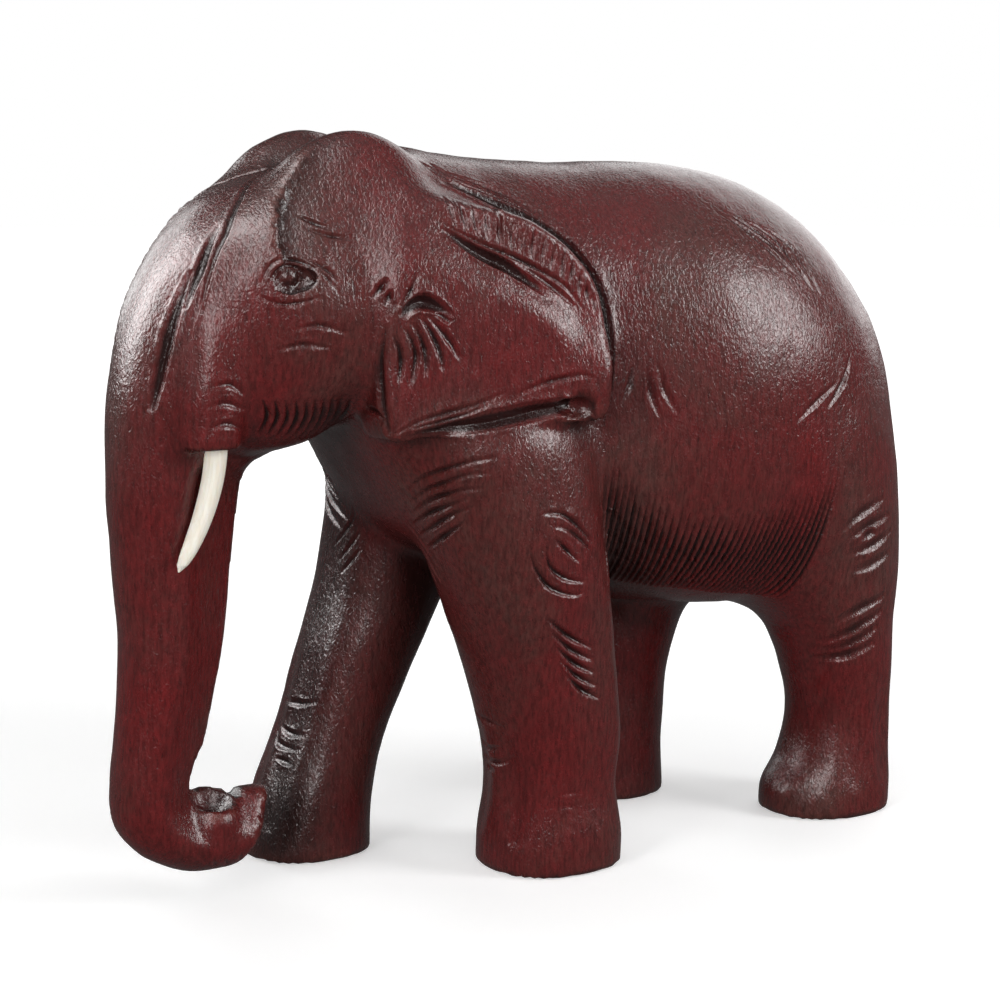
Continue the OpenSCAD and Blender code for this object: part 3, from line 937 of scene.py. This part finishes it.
def stained_wood(name):
    """Dark red-brown stain under a satin lacquer, over fine upright grain."""
    m = plain_material(name, (0.08, 0.010, 0.009), 0.30)
    t = Tree(m)
    # Noises: scale, detail, roughness and distortion
    patches = t.noise((0.022, 0.022, 0.016), 3, 0.5, 0.6)
    mottle = t.noise((0.5, 0.5, 0.3), 5, 0.66, 0.5)
    streaks = t.noise((1.1, 1.1, 0.24), 4, 0.6, 0.3)
    pores = t.noise((2.6, 2.6, 0.6), 2, 0.5)
    wrinkles = t.noise((1.15, 1.15, 0.7), 1, 0.5, 0.8)
    cut = t.span(t.attribute("cut_depth"), 0.25, 0.85)
    painted_shade = t.span(t.attribute("corner_shade"), 0.03, 0.5)
    sharp = t.span(t.attribute("edge"), 0.16, 0.62)

    tone = t.math("ADD", t.math("MULTIPLY", patches, 0.7), t.math("MULTIPLY", mottle, 0.3))
    color = t.mix(1.0, t.ramp(tone, STAIN), t.ramp(streaks, GRAIN), "MULTIPLY")
    color = t.mix(t.span(pores, 0.60, 0.72, 0, 0.5), color, PORE_COLOR)
    # Lighter along sharp edges, in patches: partly wear of the stain, partly a painted highlight on the
    # arrises
    wear_and_highlight = t.math("MULTIPLY", sharp, t.span(mottle, 0.42, 0.6))
    color = t.mix(t.math("MULTIPLY", wear_and_highlight, 0.45), color, WORN_AND_HIGHLIGHT_COLOR)
    # Painted shade: the colour darkens deep in corners and hollows
    color = t.mix(t.math("MULTIPLY", painted_shade, 0.8), color, PAINTED_SHADE_COLOR)
    # Painted shade: the colour darkens with the depth of each tool mark
    color = t.mix(t.math("MULTIPLY", cut, 0.9), color, CUT_SHADE_COLOR)
    t.feed(t.shader.inputs["Base Color"], color)
    t.feed(t.shader.inputs["Roughness"], t.span(mottle, 0.3, 0.7, 0.19, 0.30))

    height = t.math("ADD", wrinkles, t.math("MULTIPLY", streaks, 0.3))
    height = t.math("SUBTRACT", height, t.span(pores, 0.6, 0.75, 0, 0.2))
    bump = t.add("Bump", Strength=1.0, Distance=0.00021, Height=height)
    t.feed(t.shader.inputs["Normal"], bump.outputs[0])
    t.shader.inputs["Coat Weight"].default_value = 0.15
    t.shader.inputs["Coat Roughness"].default_value = 0.24
    return m


def ivory_resin(name):
    """Cream resin with faint lengthwise streaks."""
    m = plain_material(name, (0.86, 0.79, 0.66), 0.36)
    t = Tree(m)
    streaks = t.noise((0.8, 0.8, 0.05), 4, 0.6, 0.3)
    specks = t.noise((1.4, 1.4, 1.0), 3, 0.6)
    color = t.mix(t.span(specks, 0.66, 0.78, 0, 0.5), t.ramp(streaks, IVORY), IVORY_SPECK)
    t.feed(t.shader.inputs["Base Color"], color)
    t.feed(t.shader.inputs["Roughness"], t.span(streaks, 0.3, 0.7, 0.30, 0.42))
    bump = t.add("Bump", Strength=0.4, Distance=0.0001, Height=streaks)
    t.feed(t.shader.inputs["Normal"], bump.outputs[0])
    t.shader.inputs["Subsurface Weight"].default_value = 0.15
    t.shader.inputs["Subsurface Radius"].default_value = (0.0012, 0.0008, 0.0005)
    t.shader.inputs["Coat Weight"].default_value = 0.15
    return m


# ---- The figure ----

field = sculpt()
wood = stained_wood("stained_wood")
ivory = ivory_resin("ivory_resin")
carving = add_object("elephant_carving", carved_mesh("elephant_carving", field), wood)
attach(carving, "root")
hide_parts("carved_body")
for tusk in ("tusk_left", "tusk_right"):
    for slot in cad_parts[tusk].material_slots:
        slot.material = ivory


# ---- Floor, light and camera ----

FLOOR_RADIUS = 4
FLOOR_CORNERS = 96
LIT_HEIGHT = 0.11        # the softboxes face this point, near the middle of the figure
CAMERA_PLACE = (550.3, -376.0, 202.6)            # drawn millimetres
CAMERA_LENS = 86.4
SENSOR_WIDTH = 36
FLOOR_GLOW = (0.25, 1.5, 0.42, 1.0)              # between these distances, these strengths


def add_floor(radius):
    """A pale floor that brightens into the white of the studio away from the figure."""
    mesh = bpy.data.meshes.new("floor")
    turns = [2 * math.pi * k / FLOOR_CORNERS for k in range(FLOOR_CORNERS)]
    rim = [(radius * math.cos(a), radius * math.sin(a), 0) for a in turns]
    mesh.from_pydata(rim, [], [list(range(FLOOR_CORNERS))])
    m = plain_material("floor", (0.8, 0.8, 0.8), 0.8)
    t = Tree(m)
    away = t.add("VectorMath", {"operation": "LENGTH"})
    t.feed(away.inputs[0], t.add("TexCoord").outputs["Object"])
    t.shader.inputs["Emission Color"].default_value = (1, 1, 1, 1)
    t.feed(t.shader.inputs["Emission Strength"], t.span(away.outputs["Value"], *FLOOR_GLOW))
    floor = add_object("floor", mesh, m)
    floor.visible_glossy = False
    floor.visible_diffuse = False


def outward(azimuth, elevation):
    """Unit vector towards this place around the figure: azimuth 0 is its front, 90 its left side."""
    a, e = math.radians(azimuth), math.radians(elevation)
    return Vector((math.sin(a) * math.cos(e), -math.cos(a) * math.cos(e), math.sin(e)))


def add_softbox(name, azimuth, elevation, distance, width, height, radiance, seen_in="both"):
    """Softbox facing the figure from this place around it, with sizes in metres.

    Its radiance sets how bright its face is, whatever its size. It acts on the gloss of the wood, on its
    matt colour, or on both.
    """
    light = bpy.data.lights.new(name, "AREA")
    light.shape = "RECTANGLE"
    light.size = width
    light.size_y = height
    light.energy = radiance * width * height * math.pi
    obj = bpy.data.objects.new(name, light)
    way = outward(azimuth, elevation)
    obj.location = Vector((0, 0, LIT_HEIGHT)) + distance * way
    obj.rotation_euler = (-way).to_track_quat("-Z", "Y").to_euler()
    obj.visible_diffuse = seen_in != "gloss"
    obj.visible_glossy = seen_in != "matt"
    bpy.context.scene.collection.objects.link(obj)


def add_camera(azimuth, elevation, place_at, lens):
    """Camera at this point, looking back along the way that the two angles give."""
    camera = bpy.data.cameras.new("camera")
    camera.lens = lens
    camera.sensor_width = SENSOR_WIDTH
    obj = bpy.data.objects.new("camera", camera)
    obj.location = place_at
    obj.rotation_euler = (-outward(azimuth, elevation)).to_track_quat("-Z", "Y").to_euler()
    bpy.context.scene.collection.objects.link(obj)
    bpy.context.scene.camera = obj


def add_sun(name, direction, angle, strength):
    """A wide, even light from far away, coming down along this direction."""
    light = bpy.data.lights.new(name, "SUN")
    light.angle = math.radians(angle)
    light.energy = strength
    obj = bpy.data.objects.new(name, light)
    obj.rotation_euler = Vector(direction).to_track_quat("-Z", "Y").to_euler()
    bpy.context.scene.collection.objects.link(obj)


def add_world(seen, lighting):
    """A plain studio: this bright where the camera sees it, and this bright as a light."""
    world = bpy.data.worlds.new("studio")
    world.use_nodes = True
    nodes, links = world.node_tree.nodes, world.node_tree.links
    path = nodes.new("ShaderNodeLightPath")
    level = nodes.new("ShaderNodeMapRange")
    level.inputs["To Min"].default_value = lighting
    level.inputs["To Max"].default_value = seen
    links.new(path.outputs["Is Camera Ray"], level.inputs["Value"])
    links.new(level.outputs[0], nodes["Background"].inputs["Strength"])
    nodes["Background"].inputs["Color"].default_value = (1, 1, 1, 1)
    bpy.context.scene.world = world


add_floor(FLOOR_RADIUS)
add_world(seen=1.0, lighting=0.11)
add_sun("overhead", direction=(-0.2, 0.2, -1), angle=90, strength=0.5)
# Softboxes: azimuth, elevation, distance, width, height and radiance
add_softbox("front_softbox", -32, 27, 0.42, 0.22, 0.24, 12, "gloss")
add_softbox("right_softbox", -80, 20, 1.0, 0.3, 0.5, 4)
add_softbox("front_fill", 20, 10, 1.0, 0.35, 0.5, 10.5, "matt")
add_softbox("upper_softbox", 14, 58, 1.0, 0.9, 0.45, 8, "gloss")
add_softbox("temple_softbox", 55, 26, 1.0, 0.2, 0.6, 9.5, "gloss")
add_softbox("side_fill", 97, 2, 1.0, 0.8, 0.22, 5.6, "matt")
add_softbox("side_softbox", 132, 21, 1.0, 0.30, 0.46, 12)
add_softbox("rear_softbox", -152, 22, 1.0, 0.8, 0.7, 1.7)
bpy.context.scene.view_settings.view_transform = "Standard"
add_camera(azimuth=56, elevation=9, place_at=place(CAMERA_PLACE), lens=CAMERA_LENS)
